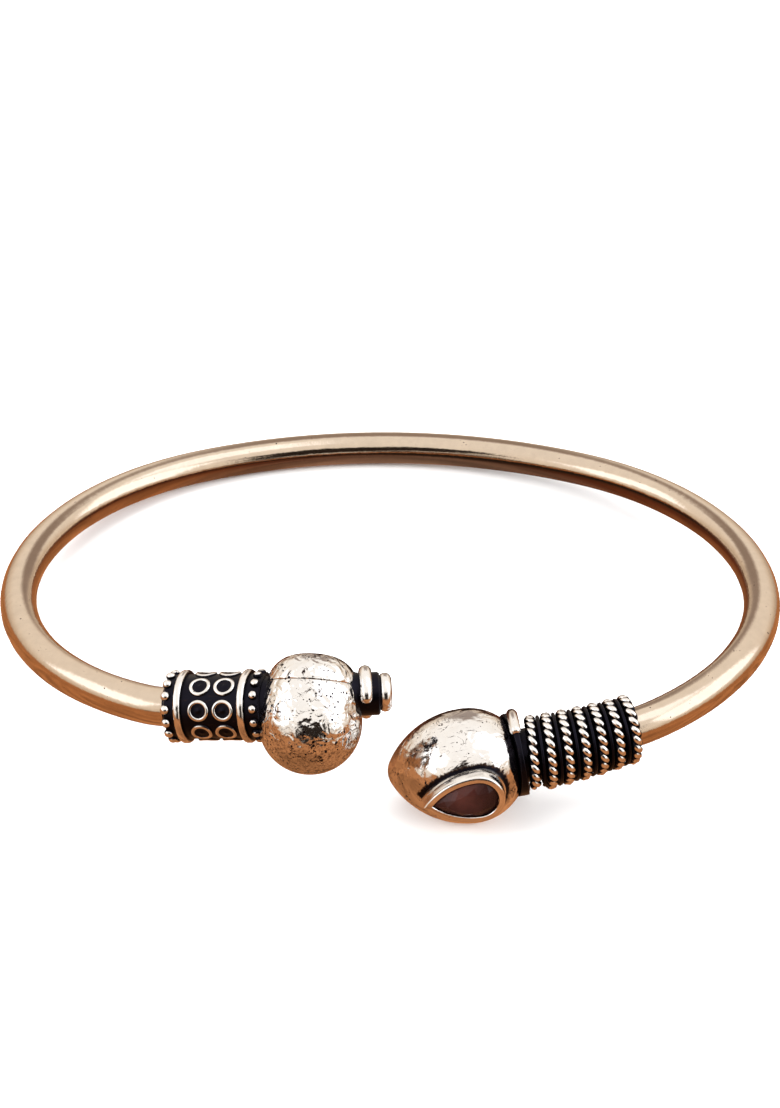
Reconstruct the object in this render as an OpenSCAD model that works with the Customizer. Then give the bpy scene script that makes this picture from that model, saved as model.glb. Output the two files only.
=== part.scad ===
/* [Wire] */
// Thickness of the round cuff wire
wire_d = 3.0; // [2.5:0.1:3.5]
// Thickness of the pins that carry the beads
pin_d = 2.0; // [1.6:0.1:2.2]
// Bend radius of the back, on the wire's centreline
back_radius = 39.4; // [37:0.2:42]
// Angle from the middle of the back to where the side bends tighter
back_angle = 26.6; // [25:0.2:28]
// Bend radius of each side
side_radius = 24.4; // [23:0.2:26]
// Angle that each side bend turns
side_angle = 66.6; // [65:0.2:68]
// Bend radius of each front arm
front_radius = 22.2; // [21:0.2:24]
// Bend radius of the short elbow behind each ornament
elbow_radius = 7; // [5:0.5:9]

/* [Left arm] */
// Angle by which the left front arm leaves the cuff's plane, upwards
left_rise = 3.5; // [0:0.5:8]
// Angle that the left front arm turns
left_arm_angle = 61.5; // [59:0.5:64]
// Direction of the left elbow, turned upwards about the wire
left_elbow_rise = 17; // [5:1:25]
// Angle that the left elbow turns
left_elbow_angle = 15.5; // [12:0.5:18]

/* [Right arm] */
// Angle by which the right front arm leaves the cuff's plane, downwards
right_dip = 6; // [2:0.5:8]
// Angle that the right front arm turns
right_arm_angle = 56.2; // [54:0.2:58]
// Direction of the right elbow, turned downwards about the wire
right_elbow_dip = 18; // [10:1:25]
// Angle that the right elbow turns
right_elbow_angle = 14.2; // [12:0.2:16]

/* [Ring sleeve] */
// Length of the sleeve
sleeve_len = 7.8; // [7.6:0.1:8]
// Diameter of the sleeve's dark barrel
sleeve_d = 4.9; // [4.6:0.1:5.2]
// Diameter over the raised bands
band_d = 5.56; // [5.3:0.02:5.8]
// Width of a raised band
band_w = 0.55; // [0.4:0.05:0.7]
// Diameter of a granule
granule_d = 0.74; // [0.6:0.02:0.8]
// Granules in a row round the sleeve
granule_count = 15; // [12:1:16]
// Outside diameter of a little ring
ringlet_d = 1.7; // [1.5:0.05:1.8]
// Thickness of a little ring's wire
ringlet_wire_d = 0.32; // [0.26:0.02:0.4]
// Little rings in a row round the sleeve
ringlet_count = 8; // [6:1:8]

/* [Round ball] */
// Greatest diameter of the ball
ball_d = 7.78; // [7.2:0.02:8]
// Diameter where the domed lid is soldered on
lid_d = 6.7; // [6.4:0.05:6.9]
// Height of that seam above the ball's widest circle
seam_h = 2.8; // [2.4:0.1:3]
// Height of the domed lid above the seam
lid_h = 2.35; // [2.2:0.05:3]
// Angle of the ball's lid from straight up, inwards
lid_back = 57; // [45:1:65]
// Angle of the ball's lid along the wire
lid_side = 2; // [0:1:10]
// Distance from the wire's axis down to the ball's widest circle
ball_drop = 1.3; // [1.2:0.05:1.8]
// Angle that the wire turns inside the ball
ball_bend = 18; // [10:1:22]
// Thickness of the hollow beads' walls
bead_wall = 0.6; // [0.5:0.05:0.8]

/* [Ball end] */
// Thickness of the smooth wire turns at the ball's end and the teardrop's neck
turn_wire_d = 1.0; // [0.8:0.05:1.1]
// Diameter of the dark knob past the ball
knob_d = 3.25; // [3.2:0.05:3.6]
// Diameter of the knob's open turn, on its centreline
open_turn_d = 3.34; // [3.2:0.02:3.4]
// Diameter of the knob's last turn, on its centreline
last_turn_d = 2.1; // [1.9:0.02:2.2]
// Angle by which the knob leans from its pin, downwards
knob_lean = 8; // [0:1:12]

/* [Rope coil] */
// Distance from turn to turn of the rope
rope_pitch = 1.27; // [1.2:0.01:1.3]
// Thickness of the two-strand rope
rope_d = 0.92; // [0.8:0.01:0.95]
// Thickness of the dark wire between the rope's turns
filler_d = 0.3; // [0.24:0.02:0.34]
// Outside diameter of the first turn, at the arm
rope_out_d1 = 5.4; // [5.2:0.05:5.6]
// Outside diameter of the last turn, at the teardrop
rope_out_d2 = 6; // [5.8:0.05:6.2]
// Bend radius of the coil's axis
rope_axis_radius = 40; // [35:1:50]

/* [Teardrop] */
// Diameter of the dark cap at the teardrop's neck
cap_d = 6.4; // [6:0.1:6.6]
// Length of that cap
cap_len = 1.0; // [0.9:0.05:1.1]
// Angle of the cap's front face, which makes its outer side thinner
cap_lean = 11; // [0:1:14]
// Height of the cap's middle above its pin
cap_lift = 0.2; // [0:0.05:0.3]
// Diameter of the open turn on the cap, on its centreline
neck_turn_d = 6.5; // [6.3:0.05:6.6]
// Thickness of the open turn's wire
neck_wire_d = 0.88; // [0.8:0.02:0.94]
// Greatest diameter of the teardrop
drop_d = 8.8; // [8.6:0.02:9.2]
// Distance from the cap to the teardrop's widest circle
drop_from_cap = 3.2; // [3:0.05:3.4]
// Radius of the arc from the widest circle to the tip
drop_flank_radius = 7; // [6.8:0.05:7.2]
// Angle where that arc meets the round nose
drop_nose_angle = 60; // [55:1:65]
// Angle of the teardrop's axis to its pin, inwards
drop_turn = 9; // [5:1:12]
// Distance of the teardrop's middle below its pin
drop_sink = 0; // [0:0.05:0.5]

/* [Stone and bezel] */
// Length of the pear-cut stone
stone_len = 5; // [4.6:0.1:5.2]
// Width of the stone
stone_w = 3; // [2.8:0.1:3.2]
// Thickness of the bezel's wall
bezel_wall = 0.5; // [0.45:0.01:0.6]
// Height of the bezel's rim above the teardrop's axis
bezel_rim = 4.95; // [4.6:0.05:5.2]
// Angle of the stone's face below straight outwards, above it where negative
stone_drop = -3.5; // [-6:0.5:10]
// Angle of the stone's face towards the tip, away from it where negative
stone_lean = -6; // [-10:1:8]
// Distance of the stone's middle from the teardrop's widest circle, towards the tip
stone_shift = 0.5; // [-0.6:0.05:0.8]

/* [Hidden] */
$fn = 48;
// Gap kept between two pieces
gap = 0.05;
wire_r = wire_d/2;
pin_r = pin_d/2;
bore_r = pin_r + gap;
silver = "#c9bda9";
patina = "#2b2725";
garnet = "#4a1518";

// Columns of a bend table: lift of the bend out of the cuff's plane, radius on the centreline (0 is straight),
// angle turned (length where straight), radius of the wire there, and steps of the swept solid
LIFT = 0;
RADIUS = 1;
TURN = 2;
THICK = 3;
STEPS = 4;
// Straight run through the sleeve to the bend inside the ball, and the bend itself
sleeve_run = 10.25;
ball_bend_radius = 6;
ball_bend_lift = -15;
// Length of the left pin past the ball's bend
knob_pin = 4.2;
rope_turn = 12.4;
rope_lift = 18.5;
// Length of the right pin past the rope, into the hollow teardrop
drop_pin = 4;
cuff_half = [[0, back_radius, back_angle, wire_r, 6], [0, side_radius, side_angle, wire_r, 11]];
left_bends = concat(cuff_half, [
    [left_rise, front_radius, left_arm_angle, wire_r, 10],
    [left_elbow_rise, elbow_radius, left_elbow_angle, wire_r, 3],
    [0, 0, sleeve_run, pin_r, 1],
    [ball_bend_lift, ball_bend_radius, ball_bend, pin_r, 3],
    [0, 0, knob_pin, pin_r, 1]]);
right_bends = concat(cuff_half, [
    [-right_dip, front_radius, right_arm_angle, wire_r, 9],
    [-right_elbow_dip, elbow_radius, right_elbow_angle, wire_r, 3],
    [rope_lift, rope_axis_radius, rope_turn, pin_r, 3],
    [0, 0, drop_pin, pin_r, 1]]);
// Number of bends before each ornament's own axis
TO_ORNAMENT = 4;
TO_KNOB = 6;
TO_CAP = 5;

// Rigid moves as matrices
function shift(v) = [[1, 0, 0, v.x], [0, 1, 0, v.y], [0, 0, 1, v.z], [0, 0, 0, 1]];
function turn_x(a) = [[1, 0, 0, 0], [0, cos(a), -sin(a), 0], [0, sin(a), cos(a), 0], [0, 0, 0, 1]];
function turn_z(a) = [[cos(a), -sin(a), 0, 0], [sin(a), cos(a), 0, 0], [0, 0, 1, 0], [0, 0, 0, 1]];
function place(m, p) = let (q = m*[p.x, p.y, p.z, 1]) [q.x, q.y, q.z];
function heading(m) = [m[0][0], m[1][0], m[2][0]];

// Frames along a bend table: x runs along the wire, y points to the inside of the bend, z points down
function along(r, v) = r == 0 ? shift([v, 0, 0]) : shift([r*sin(v), r*(1 - cos(v)), 0])*turn_z(v);
function frame_at(bends, k) = k == 0 ? turn_x(180) : bend_start(bends, k - 1)*along(bends[k - 1][RADIUS], bends[k - 1][TURN]);
function bend_start(bends, k) = frame_at(bends, k)*turn_x(-bends[k][LIFT]);

sleeve_frame = frame_at(left_bends, TO_ORNAMENT);
ball_at = sleeve_run + ball_bend_radius*tan(ball_bend/2);
knob_frame = frame_at(left_bends, TO_KNOB);
rope_frame = bend_start(right_bends, TO_ORNAMENT);
cap_frame = frame_at(right_bends, TO_CAP);
drop_at = cap_len + drop_from_cap;
drop_frame = cap_frame*shift([drop_at, 0, drop_sink])*turn_z(drop_turn);
drop_r = drop_d/2;

// The cuff lies on a table on two places: under the teardrop, and under the back of the wire at this angle,
// so that its weight is above the line between them
touch_angle = -14.5;
touch_back = [back_radius*sin(touch_angle), -back_radius*(1 - cos(touch_angle)), 0];
reach = place(drop_frame, [0, 0, 0]) - touch_back;
reach_out = -(reach.x*sin(touch_angle) + reach.y*cos(touch_angle));
drop_low = drop_flank_radius - (drop_flank_radius - drop_r)*sqrt(1 - pow(heading(drop_frame).z, 2));
rest_tilt = atan2(-reach.z, reach_out) + asin((drop_low - wire_r)/norm([reach_out, reach.z]));
rest_turn = turn_z(-touch_angle)*turn_x(-rest_tilt)*turn_z(touch_angle);
rest_height = wire_r - place(rest_turn, touch_back).z;
// Middle of the cuff's outline seen from above, from the middle of its back
plan_middle = [-0.05, -25.94];
rest = shift([-plan_middle.x, -plan_middle.y, rest_height])*rest_turn;

module right_side() {
    multmatrix(rest) children();
}

module left_side() {
    multmatrix(rest) mirror([1, 0, 0]) children();
}

// A tube round the x axis
module tube(from, to, r, bore = bore_r) {
    translate([from, 0, 0]) rotate([0, 90, 0]) difference() {
        cylinder(r = r, h = to - from);
        translate([0, 0, -1]) cylinder(r = bore, h = to - from + 2);
    }
}

// Puts children at a distance from the x axis: angle 0 is up, 90 is outwards
module round_axis(x, r, angle) {
    translate([x, 0, 0]) rotate([180 - angle, 0, 0]) translate([0, 0, r]) children();
}

// Turns children about a direction square to the x axis: 0 is up, 90 is outwards
module turned_from(direction, angle) {
    rotate([180 - direction, 0, 0]) rotate([0, 0, angle]) rotate([direction - 180, 0, 0]) children();
}

// An open turn of wire round the x axis, which starts at one angle and runs back over the top
module open_turn(x, d, thick, from, sweep) {
    translate([x, 0, 0]) rotate([90 - from, 0, 0]) rotate([0, 90, 0]) rotate([0, 0, -90])
        rotate_extrude(angle = sweep, $fn = 96) translate([d/2, 0]) circle(d = thick);
}

// Points of an arc in a half profile: x is the distance from the axis, y runs along it
function arc(c, r, from, to, steps) =
    [for (i = [0:steps]) let (a = from + (to - from)*i/steps) c + r*[cos(a), sin(a)]];

// A smooth solid through stations of [middle, direction, radius], with up as the start of each section
module swept(stations, ups, sides) {
    n = len(stations);
    verts = [for (i = [0:n - 1])
        let (t = stations[i][1], u = ups[i] - (ups[i]*t)*t, e = u/norm(u), f = cross(t, e))
        for (j = [0:sides - 1]) stations[i][0] + stations[i][2]*(cos(360*j/sides)*e + sin(360*j/sides)*f)];
    walls = [for (i = [0:n - 2], j = [0:sides - 1]) let (a = i*sides + j, b = i*sides + (j + 1)%sides)
        each [[a, b + sides, b], [a, a + sides, b + sides]]];
    first = [for (j = [0:sides - 1]) j];
    last = [for (j = [sides - 1:-1:0]) (n - 1)*sides + j];
    polyhedron(points = verts, faces = concat(walls, [first, last]));
}

// Stations along bends of a bend table, from one bend to the next
function stations(bends) = [for (k = [0:len(bends) - 1]) let (b = bends[k], start = bend_start(bends, k))
    for (i = [(k > 0 && bends[k - 1][THICK] == b[THICK] ? 1 : 0):b[STEPS]])
        let (m = start*along(b[RADIUS], b[TURN]*i/b[STEPS])) [place(m, [0, 0, 0]), heading(m), b[THICK]]];
function mirrored(s) = [[-s[0].x, s[0].y, s[0].z], [s[1].x, -s[1].y, -s[1].z], s[2]];

module cuff_wire() {
    right = stations(right_bends);
    left = stations(left_bends);
    path = concat([for (i = [len(left) - 1:-1:1]) mirrored(left[i])], right);
    color(silver) multmatrix(rest) swept(path, [for (s = path) [0, 0, 1]], 20);
}

// Places along the sleeve, and where the first granule and the first little ring stand round it
collar_len = 0.3;
collar_r = 1.95;
granules_at = [0.5, 7.35];
bands_at = [1.45, 6.4];
ringlets_at = [3.1, 5.0];
granule_turn = 46.6;
ringlet_turn = 49;
neck_r = 2.2;
neck_len = 1.3;

module ring_sleeve() {
    color(patina) left_side() multmatrix(sleeve_frame) difference() {
        union() {
            tube(gap, collar_len + gap, collar_r);
            tube(collar_len, sleeve_len, sleeve_d/2);
            tube(sleeve_len - gap, sleeve_len + neck_len, neck_r);
            for (x = bands_at) tube(x - band_w/2, x + band_w/2, band_d/2);
            for (x = granules_at, k = [0:granule_count - 1])
                round_axis(x, sleeve_d/2, granule_turn + 360*k/granule_count) sphere(d = granule_d);
            for (x = ringlets_at, k = [0:ringlet_count - 1])
                round_axis(x, sleeve_d/2, ringlet_turn + 360*k/ringlet_count)
                    rotate_extrude() translate([(ringlet_d - ringlet_wire_d)/2, 0]) circle(d = ringlet_wire_d);
        }
        ball_form(-gap);
    }
}

ball_r = ball_d/2;
lid_r = lid_d/2;
// Sharpness of the lid's shoulder and of its top: 1 is an ellipse
lid_shoulder = 0.75;
lid_top = 0.9;

// The ball's outer form on the sleeve's axis, made smaller all over by inset
module ball_form(inset) {
    bulge = (seam_h*seam_h + pow(ball_r - lid_r, 2))/(2*(ball_r - lid_r));
    lid = [for (a = [0:9:81]) [(lid_r - inset)*pow(cos(a), lid_shoulder), seam_h + (lid_h - inset)*pow(sin(a), lid_top)]];
    profile = concat(
        [[0, inset - ball_r]],
        arc([0, 0], ball_r - inset, -84, 0, 14),
        arc([ball_r - bulge, 0], bulge - inset, 6, asin(seam_h/(bulge - inset)), 4),
        [for (k = [1:len(lid) - 1]) lid[k]],
        [[0, seam_h + lid_h - inset]]);
    translate([ball_at, 0, 0]) rotate([180 + lid_back, 0, 0]) rotate([0, lid_side, 0]) translate([0, 0, -ball_drop])
        rotate_extrude() polygon(profile);
}

module round_ball() {
    color(silver) left_side() difference() {
        multmatrix(sleeve_frame) difference() {
            ball_form(0);
            ball_form(bead_wall);
        }
        multmatrix(sleeve_frame) translate([ball_at - ball_d, 0, 0]) rotate([0, 90, 0]) cylinder(r = bore_r, h = ball_d - 1);
        multmatrix(knob_frame) rotate([0, 90, 0]) cylinder(r = bore_r, h = ball_d/2);
    }
}

// Places along the knob past the ball
post_r = 2.35;
post_from = 1;
knob_from = 2.6;
knob_to = 4.3;
knob_lean_at = 3.9;
open_turn_at = 3.2;
open_turn_from = 74;
open_turn_sweep = 260;
last_turn_at = 4.65;
last_turn_from = 105;
last_turn_sweep = 300;
// Side from which the lean of the knob and of the cap is seen, from straight up outwards
seen_from = 60;

module end_knob() {
    color(patina) left_side() difference() {
        multmatrix(knob_frame) difference() {
            translate([knob_lean_at, 0, 0]) turned_from(seen_from, knob_lean) translate([-knob_lean_at, 0, 0]) {
                translate([post_from, 0, 0]) rotate([0, 90, 0]) cylinder(r1 = post_r, r2 = knob_d/2 - gap, h = knob_from - post_from + gap);
                translate([knob_from, 0, 0]) rotate([0, 90, 0]) cylinder(r = knob_d/2, h = knob_to - knob_from);
                open_turn(open_turn_at, open_turn_d, turn_wire_d, open_turn_from, open_turn_sweep);
                open_turn(last_turn_at, last_turn_d, turn_wire_d, last_turn_from, last_turn_sweep);
            }
            translate([-1, 0, 0]) rotate([0, 90, 0]) cylinder(r = bore_r, h = knob_pin + gap + 1);
        }
        multmatrix(sleeve_frame) ball_form(-gap);
    }
}

// The rope's turns grow from the arm to the teardrop, and the core under them grows with them in steps
rope_r = rope_d/2;
rope_start = 0.47;
rope_turns = 6.5;
rope_from = -60;
rope_rings = 16;
function turn_radius(s) = (rope_out_d1 + (rope_out_d2 - rope_out_d1)*min(max(s/(6*rope_pitch), 0), 1))/2 - rope_r;
rope_len = rope_axis_radius*rope_turn*PI/180;
core_steps = 7;
rope_collar = 0.1;
rope_collar_r = 1.68;

// A bent round bar on the rope's axis, from one place along it to its end
module core_bar(from, to, r) {
    a = from/rope_axis_radius*180/PI;
    b = to/rope_axis_radius*180/PI;
    translate([0, rope_axis_radius, 0]) rotate([0, 0, a - 90]) rotate_extrude(angle = b - a, $fn = 180)
        translate([rope_axis_radius, 0]) circle(r = r, $fn = 48);
}

module rope_core() {
    color(patina) right_side() multmatrix(rope_frame) difference() {
        union() {
            core_bar(gap, rope_collar, rope_collar_r);
            for (k = [0:core_steps - 1]) let (s = k*rope_pitch)
                core_bar(k == 0 ? gap : rope_start + s - rope_pitch/2, rope_len - gap, turn_radius(s) - rope_r - 2*gap);
        }
        core_bar(-1, rope_len + 1, bore_r);
    }
}

// A wire of radius r wound round the rope's axis, moved along it by ahead and outwards by lift.
// Angle 0 is up and 90 outwards, and the first turn is measured where it faces outwards
module wound_wire(turns, r, ahead, lift, sides) {
    path = [for (i = [0:rope_rings*turns]) let (
        angle = rope_from + 360*i/rope_rings,
        s = rope_start + ahead + rope_pitch*(angle - 90)/360,
        m = rope_frame*along(rope_axis_radius, s/rope_axis_radius*180/PI),
        out = place(m, [0, -sin(angle), -cos(angle)]) - place(m, [0, 0, 0]))
        [place(m, [0, 0, 0]) + (turn_radius(s - rope_start) + lift)*out, out]];
    n = len(path);
    spots = [for (i = [0:n - 1]) let (d = path[min(i + 1, n - 1)][0] - path[max(i - 1, 0)][0]) [path[i][0], d/norm(d), r]];
    swept(spots, [for (p = path) p[1]], sides);
}

module rope_coil() {
    color(silver) right_side() wound_wire(rope_turns, rope_r, 0, 0, 10);
}

// How far the dark wire's middle stands outside the rope's own
filler_lift = 0.19;

module filler_wire() {
    color(patina) right_side() wound_wire(rope_turns - 1, filler_d/2, rope_pitch/2, filler_lift, 8);
}

// Where the open turn stands on the cap
neck_turn_at = 0.3;
neck_turn_from = 20;
neck_turn_sweep = 200;

// The space in front of the cap's leaning face (side 1) or behind it (side -1), moved forward by ahead
module beyond_cap(side, ahead) {
    translate([cap_len, 0, 0]) turned_from(seen_from - 90, cap_lean) translate([ahead + (side < 0 ? -drop_d : 0), -drop_d, -drop_d])
        cube([drop_d, 2*drop_d, 2*drop_d]);
}

module bead_cap() {
    color(patina) right_side() multmatrix(cap_frame) difference() {
        union() {
            difference() {
                translate([gap, -cap_lift*sin(seen_from - 90), -cap_lift*cos(seen_from - 90)]) rotate([0, 90, 0])
                    cylinder(d = cap_d, h = 2*cap_len);
                beyond_cap(1, 0);
            }
            open_turn(neck_turn_at, neck_turn_d, neck_wire_d, neck_turn_from, neck_turn_sweep);
        }
        translate([-1, 0, 0]) rotate([0, 90, 0]) cylinder(r = bore_r, h = cap_len + 2);
    }
}

// The teardrop's outer form with its tip along x, made smaller all over by inset
module drop_form(inset) {
    nose_r = (drop_r - drop_flank_radius*(1 - cos(drop_nose_angle)))/cos(drop_nose_angle);
    nose_at = (drop_flank_radius - nose_r)*sin(drop_nose_angle);
    profile = concat(
        [[0, inset - drop_r]],
        arc([0, 0], drop_r - inset, -84, 0, 14),
        arc([drop_r - drop_flank_radius, 0], drop_flank_radius - inset, 4, drop_nose_angle, 14),
        [for (k = [1:4]) let (a = drop_nose_angle + (90 - drop_nose_angle)*k/5) [0, nose_at] + (nose_r - inset)*[cos(a), sin(a)]],
        [[0, nose_at + nose_r - inset]]);
    rotate([0, 90, 0]) rotate_extrude() polygon(profile);
}

// Outline of the pear-cut stone, made larger all round by grow, starting at its tip
function pear(grow, flank_steps, round_steps) = let (
    h = stone_w/2,
    reach = stone_len - h,
    r = (reach*reach + h*h)/(2*h),
    x = h - stone_len/2,
    a = asin((r - h)/(r + grow)))
    concat(
        [for (i = [0:flank_steps - 1]) let (t = a + (90 - a)*i/flank_steps) [x + (r + grow)*cos(t), h - r + (r + grow)*sin(t)]],
        [for (i = [0:round_steps - 1]) let (t = 90 + 180*i/round_steps) [x + (h + grow)*cos(t), (h + grow)*sin(t)]],
        [for (i = [0:flank_steps - 1]) let (t = 270 + (90 - a)*i/flank_steps) [x + (r + grow)*cos(t), r - h + (r + grow)*sin(t)]]);

// Depths in the setting, from its rim: the girdle's top, the ledge under it, the floor and the base of the cup
girdle_depth = 0.2;
girdle_h = 0.12;
ledge_depth = 0.7;
ledge_w = 0.3;
floor_depth = 2;
cup_depth = 2.4;

module setting_place() {
    multmatrix(drop_frame) rotate([90 - stone_drop, 0, 0]) rotate([0, stone_lean, 0]) translate([stone_shift, 0, bezel_rim])
        children();
}

module pear_block(grow, from, to) {
    translate([0, 0, -to]) linear_extrude(to - from) polygon(pear(grow, 10, 12));
}

module teardrop_ball() {
    color(silver) right_side() difference() {
        union() {
            difference() {
                multmatrix(drop_frame) drop_form(0);
                multmatrix(drop_frame) drop_form(bead_wall);
                multmatrix(cap_frame) beyond_cap(-1, gap);
            }
            setting_place() pear_block(bezel_wall, 0, cup_depth);
        }
        setting_place() pear_block(gap, -1, ledge_depth);
        setting_place() pear_block(-ledge_w, 0, floor_depth);
    }
}

// Heights of the stone's levels from the girdle's top, and their share of its outline
crown_h = 0.6;
star_h = 0.36;
star_share = 0.8;
table_share = 0.56;
pavilion_h = 1.1;
main_h = 0.6;
main_share = 0.45;

module pear_stone() {
    outline = pear(0, 5, 6);
    n = len(outline);
    m = n/2;
    function level(share, z, first, step) = [for (i = [first:step:n - 1]) [outline[i].x*share, outline[i].y*share, z]];
    verts = concat(level(table_share, crown_h, 0, 2), level(star_share, star_h, 1, 2), level(1, 0, 0, 1),
                   level(1, -girdle_h, 0, 1), level(main_share, -girdle_h - main_h, 1, 2), [[0, 0, -girdle_h - pavilion_h]]);
    table = 0;
    star = m;
    top = 2*m;
    bottom = top + n;
    main = bottom + n;
    culet = main + m;
    faces = concat(
        [[for (j = [m - 1:-1:0]) table + j]],
        [for (j = [0:m - 1]) let (k = (j + 1)%m, p = (j + m - 1)%m, a = 2*j, b = 2*j + 1, c = (2*j + 2)%n)
            each [
                [table + k, star + j, table + j],
                [table + j, top + a, star + p],
                [table + j, star + j, top + a],
                [star + j, top + b, top + a],
                [star + j, top + c, top + b],
                [top + a, top + b, bottom + b],
                [top + a, bottom + b, bottom + a],
                [top + b, top + c, bottom + c],
                [top + b, bottom + c, bottom + b],
                [main + j, bottom + a, bottom + b],
                [main + j, bottom + b, bottom + c],
                [main + p, bottom + a, main + j],
                [culet, main + p, main + j]]]);
    color(garnet) right_side() setting_place() translate([0, 0, -girdle_depth])
        polyhedron(points = verts, faces = faces);
}

cuff_wire();
ring_sleeve();
round_ball();
end_knob();
rope_core();
rope_coil();
filler_wire();
bead_cap();
teardrop_ball();
pear_stone();
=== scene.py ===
from functools import partial
from math import acos, asin, atan2, ceil, cos, hypot, pi, radians, sin, sqrt, tan

import bpy
from bpy.props import FloatProperty, FloatVectorProperty, IntProperty, PointerProperty
from mathutils import Matrix, Vector


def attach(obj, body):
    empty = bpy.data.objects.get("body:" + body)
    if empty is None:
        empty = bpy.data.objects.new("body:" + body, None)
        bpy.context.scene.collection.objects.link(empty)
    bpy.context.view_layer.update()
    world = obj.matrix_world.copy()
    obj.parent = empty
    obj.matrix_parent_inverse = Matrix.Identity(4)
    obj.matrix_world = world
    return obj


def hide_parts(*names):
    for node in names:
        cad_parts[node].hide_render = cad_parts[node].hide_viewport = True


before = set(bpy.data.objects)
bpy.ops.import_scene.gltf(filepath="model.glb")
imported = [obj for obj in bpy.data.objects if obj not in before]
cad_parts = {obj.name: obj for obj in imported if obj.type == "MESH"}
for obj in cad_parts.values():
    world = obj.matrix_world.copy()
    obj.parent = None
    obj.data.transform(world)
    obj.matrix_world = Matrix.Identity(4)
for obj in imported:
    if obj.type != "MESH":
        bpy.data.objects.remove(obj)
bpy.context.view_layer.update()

bl_info = {
    "name": "Bypass cuff bracelet",
    "version": (1, 0, 0),
    "blender": (4, 5, 0),
    "location": "View3D > Sidebar > Cuff",
    "description": "Builds an oxidised silver cuff bracelet with a round ball and a stone-set teardrop",
    "category": "Add Mesh",
}

MM = 0.001
MIRROR = Matrix.Scale(-1, 4, (1, 0, 0))


def srgb(code):
    """A colour written as in a paint chart, turned into the linear values that a shader reads."""
    parts = [int(code[i:i + 2], 16)/255 for i in (1, 3, 5)]
    return [p/12.92 if p <= 0.04045 else ((p + 0.055)/1.055)**2.4 for p in parts] + [1.0]


def size(name, text, mm):
    return FloatProperty(name=name, description=text, default=mm*MM, unit="LENGTH", precision=5)


def angle(name, text, degrees):
    return FloatProperty(name=name, description=text, default=radians(degrees), unit="ROTATION")


def count(name, text, number):
    return IntProperty(name=name, description=text, default=number, min=4)


def colour(name, text, code):
    return FloatVectorProperty(name=name, description=text, default=srgb(code), size=4, subtype="COLOR",
                               min=0, max=1)


class CuffWireSettings(bpy.types.PropertyGroup):
    wire_d: size("Wire", "Thickness of the round wire", 3.0)
    back_radius: size("Back bend", "Bend radius of the back", 39.4)
    back_angle: angle("Back angle", "Half of the angle that the back bends", 26.6)
    side_radius: size("Side bend", "Bend radius of each side", 24.4)
    side_angle: angle("Side angle", "Angle that each side bends", 66.6)
    front_radius: size("Arm bend", "Bend radius of each front arm", 22.2)
    elbow_radius: size("Elbow", "Bend radius behind each ornament", 7)
    sides: count("Sides", "Flats round the wire", 40)


class RingEndSettings(bpy.types.PropertyGroup):
    sleeve_len: size("Sleeve length", "Length of the sleeve", 7.8)
    sleeve_d: size("Sleeve", "Diameter of the dark barrel", 4.9)
    band_d: size("Bands", "Diameter over the raised bands", 5.56)
    band_w: size("Band width", "Width of a raised band", 0.55)
    granule_d: size("Granules", "Diameter of a granule", 0.74)
    granules: count("Granules in a row", "Granules round the sleeve", 15)
    ringlet_d: size("Little rings", "Outside diameter of a little ring", 1.7)
    ringlet_wire: size("Little ring wire", "Thickness of a little ring", 0.32)
    ringlets: count("Little rings in a row", "Little rings round the sleeve", 8)
    ball_d: size("Ball", "Greatest diameter of the ball", 7.78)
    lid_d: size("Lid", "Diameter where the ball's lid is soldered on", 6.7)
    lid_h: size("Lid height", "Height of the lid above its seam", 2.35)
    seam_h: size("Seam height", "Height of the seam above the widest circle", 2.8)
    lid_back: angle("Lid direction", "Angle of the lid from straight up, inwards", 57)
    turn_wire: size("Knob wire", "Thickness of the wire turns on the knob", 1.0)
    knob_d: size("Knob", "Diameter of the knob past the ball", 3.25)
    knob_lean: angle("Knob lean", "Angle by which the knob leans from its pin, downwards", 8)


class RopeEndSettings(bpy.types.PropertyGroup):
    rope_pitch: size("Rope pitch", "Distance from turn to turn", 1.27)
    rope_d: size("Rope", "Thickness of the two-strand rope", 0.92)
    strand_d: size("Strand", "Thickness of each of the rope's two strands", 0.53)
    rope_lay: size("Rope lay", "Length in which one strand goes once round the other", 1.34)
    filler_d: size("Dark wire", "Thickness of the dark wire between the rope's turns", 0.3)
    rope_out_first: size("First turn", "Outside diameter of the turn at the arm", 5.4)
    rope_out_last: size("Last turn", "Outside diameter of the turn at the teardrop", 6.0)
    cap_d: size("Cap", "Diameter of the dark cap", 6.4)
    cap_len: size("Cap length", "Length of the dark cap", 1.0)
    cap_lean: angle("Cap lean", "Angle of the cap's front face, which makes its outer side thinner", 11)
    neck_turn_d: size("Neck turn", "Centreline diameter of the open turn on the cap", 6.5)
    neck_wire: size("Neck wire", "Thickness of that turn", 0.88)
    drop_d: size("Teardrop", "Greatest diameter of the teardrop", 8.8)
    drop_from_cap: size("Teardrop place", "Distance from the cap to the widest circle", 3.2)
    flank_radius: size("Flank", "Radius of the arc that runs to the tip", 7)
    drop_turn: angle("Teardrop angle", "Angle of the teardrop's axis, inwards", 9)
    stone_len: size("Stone length", "Length of the pear-cut stone", 5)
    stone_w: size("Stone width", "Width of the pear-cut stone", 3)
    bezel_wall: size("Bezel", "Thickness of the bezel's wall", 0.5)
    foot: size("Bezel foot", "Width of the solder line round the bezel's foot", 0.08)
    bezel_rim: size("Bezel height", "Height of its rim above the teardrop's axis", 4.95)


class FinishSettings(bpy.types.PropertyGroup):
    silver: colour("Silver", "Polished silver", "#f3efeb")
    wire_silver: colour("Wire silver", "Warmer, slightly tarnished silver of the wire", "#d8c5b0")
    patina: colour("Patina", "Black oxide in the hollows", "#201f28")
    brown: colour("Tarnish", "Brown edge of the oxide", "#4b3526")
    garnet: colour("Garnet", "Body colour of the stone", "#41201b")


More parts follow.
